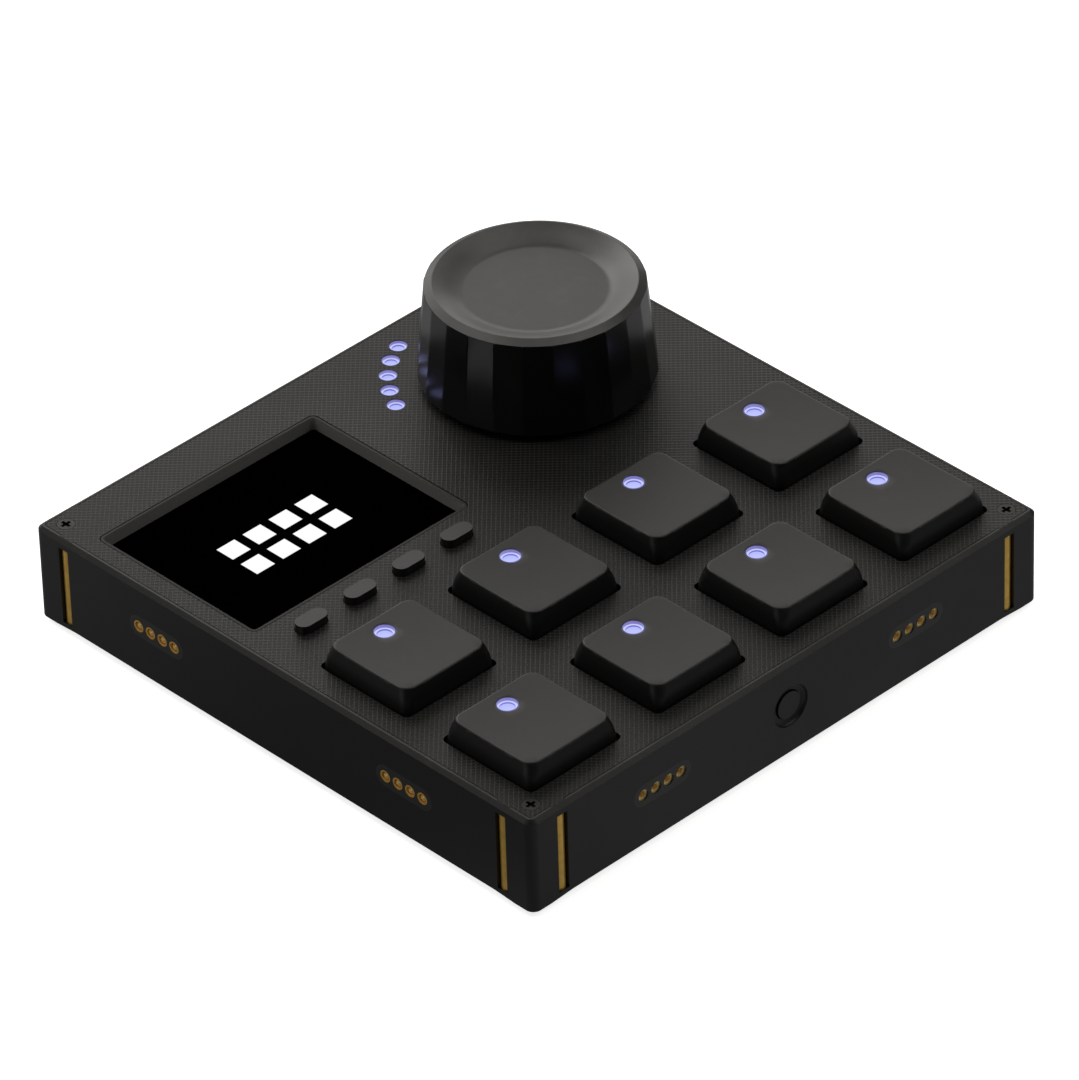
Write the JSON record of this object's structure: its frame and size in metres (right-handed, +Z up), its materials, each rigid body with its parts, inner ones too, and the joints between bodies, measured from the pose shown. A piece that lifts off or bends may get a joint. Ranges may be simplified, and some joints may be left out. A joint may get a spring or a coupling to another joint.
{
  "type": "macro keypad with one dial",
  "caption": "Square desk macro keypad: eight low keys with light windows, small display, four menu buttons, one large faceted push dial, edge magnets and contacts.",
  "frame": {"origin": "middle of the footprint, on the desk under the rubber feet", "axes": "+X to the user's right, +Y away from the user, +Z up"},
  "size_m": [0.1, 0.1, 0.0326],
  "materials": {
    "cap": "satin grey",
    "lens": "clear, lit blue",
    "stem_plastic": "moulded",
    "button": "satin grey",
    "housing": "moulded",
    "housing_top": "moulded",
    "spring": "drawn wire",
    "case": "fine satin coat",
    "plate": "woven texture, satin",
    "cover": "fine grain",
    "screw_dark": "satin coat",
    "screw_black": "black oxide",
    "foot": "matt",
    "board": "solder resist",
    "chip": "moulded",
    "led": "clear",
    "screw_steel": "plated",
    "arc_lens": "clear, lit blue",
    "panel": "brushed",
    "glass": "polished, black",
    "bezel": "satin coat",
    "foam": "open cell",
    "flex": "polyimide",
    "tact": "moulded",
    "dial": "satin top, polished facets",
    "encoder": "die cast",
    "nut": "plated",
    "rotor": "moulded",
    "shaft": "turned",
    "side_cap": "satin",
    "magnet": "gold plated",
    "connector": "moulded",
    "contact_gold": "gold plated",
    "pin_gold": "gold plated, polished",
    "pin_gold_back": "gold plated, polished",
    "port": "plated"
  },
  "bodies": {
    "body": {"switch_bases": "housing", "switch_tops": "housing_top", "key_springs": "spring", "case_frame": "case", "top_plate": "plate", "bottom_cover": "cover", "top_screws": "screw_dark", "bottom_screws": "screw_black", "rubber_feet": "foot", "main_board": "board", "board_chips": "chip", "board_lights": "led", "board_screws": "screw_steel", "arc_lenses": "arc_lens", "display_panel": "panel", "display_glass": "glass", "display_bezel": "bezel", "display_gasket": "foam", "display_cable": "flex", "tact_switches": "tact", "encoder_body": "encoder", "encoder_nut": "nut", "bar_magnets": "magnet", "connector_bodies": "connector", "contact_sleeves": "contact_gold", "usb_port": "port"},
    "key_1": {"keycap_1": "cap", "key_stem_1": "stem_plastic", "key_lens_1": "lens"},
    "key_2": {"keycap_2": "cap", "key_stem_2": "stem_plastic", "key_lens_2": "lens"},
    "key_3": {"keycap_3": "cap", "key_stem_3": "stem_plastic", "key_lens_3": "lens"},
    "key_4": {"keycap_4": "cap", "key_stem_4": "stem_plastic", "key_lens_4": "lens"},
    "key_5": {"keycap_5": "cap", "key_stem_5": "stem_plastic", "key_lens_5": "lens"},
    "key_6": {"keycap_6": "cap", "key_stem_6": "stem_plastic", "key_lens_6": "lens"},
    "key_7": {"keycap_7": "cap", "key_stem_7": "stem_plastic", "key_lens_7": "lens"},
    "key_8": {"keycap_8": "cap", "key_stem_8": "stem_plastic", "key_lens_8": "lens"},
    "menu_1": {"menu_button_1": "button"},
    "menu_2": {"menu_button_2": "button"},
    "menu_3": {"menu_button_3": "button"},
    "menu_4": {"menu_button_4": "button"},
    "side_push": {"side_button": "side_cap"},
    "left_contacts": {"left_pins": "pin_gold"},
    "back_contacts": {"back_pins": "pin_gold_back"},
    "dial_turn": {"encoder_rotor": "rotor"},
    "dial_push": {"encoder_shaft": "shaft", "knob": "dial"}
  },
  "joints": [
    {"name": "key_1_press", "type": "slide", "parent": "body", "child": "key_1", "axis": [0, 0, -1], "range_m": [0, 0.003], "stiffness_N_per_m": 160, "springref_m": -0.002, "deforming": ["key_springs"]},
    {"name": "key_2_press", "type": "slide", "parent": "body", "child": "key_2", "axis": [0, 0, -1], "range_m": [0, 0.003], "stiffness_N_per_m": 160, "springref_m": -0.002, "deforming": ["key_springs"]},
    {"name": "key_3_press", "type": "slide", "parent": "body", "child": "key_3", "axis": [0, 0, -1], "range_m": [0, 0.003], "stiffness_N_per_m": 160, "springref_m": -0.002, "deforming": ["key_springs"]},
    {"name": "key_4_press", "type": "slide", "parent": "body", "child": "key_4", "axis": [0, 0, -1], "range_m": [0, 0.003], "stiffness_N_per_m": 160, "springref_m": -0.002, "deforming": ["key_springs"]},
    {"name": "key_5_press", "type": "slide", "parent": "body", "child": "key_5", "axis": [0, 0, -1], "range_m": [0, 0.003], "stiffness_N_per_m": 160, "springref_m": -0.002, "deforming": ["key_springs"]},
    {"name": "key_6_press", "type": "slide", "parent": "body", "child": "key_6", "axis": [0, 0, -1], "range_m": [0, 0.003], "stiffness_N_per_m": 160, "springref_m": -0.002, "deforming": ["key_springs"]},
    {"name": "key_7_press", "type": "slide", "parent": "body", "child": "key_7", "axis": [0, 0, -1], "range_m": [0, 0.003], "stiffness_N_per_m": 160, "springref_m": -0.002, "deforming": ["key_springs"]},
    {"name": "key_8_press", "type": "slide", "parent": "body", "child": "key_8", "axis": [0, 0, -1], "range_m": [0, 0.003], "stiffness_N_per_m": 160, "springref_m": -0.002, "deforming": ["key_springs"]},
    {"name": "menu_1_press", "type": "slide", "parent": "body", "child": "menu_1", "axis": [0, 0, -1], "range_m": [0, 0.0004], "stiffness_N_per_m": 400, "springref_m": -0.001},
    {"name": "menu_2_press", "type": "slide", "parent": "body", "child": "menu_2", "axis": [0, 0, -1], "range_m": [0, 0.0004], "stiffness_N_per_m": 400, "springref_m": -0.001},
    {"name": "menu_3_press", "type": "slide", "parent": "body", "child": "menu_3", "axis": [0, 0, -1], "range_m": [0, 0.0004], "stiffness_N_per_m": 400, "springref_m": -0.001},
    {"name": "menu_4_press", "type": "slide", "parent": "body", "child": "menu_4", "axis": [0, 0, -1], "range_m": [0, 0.0004], "stiffness_N_per_m": 400, "springref_m": -0.001},
    {"name": "side_press", "type": "slide", "parent": "body", "child": "side_push", "axis": [0, 1, 0], "range_m": [0, 0.0005], "stiffness_N_per_m": 400, "springref_m": -0.001},
    {"name": "left_contacts_press", "type": "slide", "parent": "body", "child": "left_contacts", "axis": [1, 0, 0], "range_m": [0, 0.0008], "stiffness_N_per_m": 500, "springref_m": -0.001},
    {"name": "back_contacts_press", "type": "slide", "parent": "body", "child": "back_contacts", "axis": [0, -1, 0], "range_m": [0, 0.0008], "stiffness_N_per_m": 500, "springref_m": -0.001},
    {"name": "dial_rotate", "type": "hinge", "parent": "body", "child": "dial_turn", "pos_m": [0.025, 0.025, 0.014], "axis": [0, 0, 1], "continuous": true},
    {"name": "dial_press", "type": "slide", "parent": "dial_turn", "child": "dial_push", "axis": [0, 0, -1], "range_m": [0, 0.0005], "stiffness_N_per_m": 800, "springref_m": -0.00125}
  ]
}
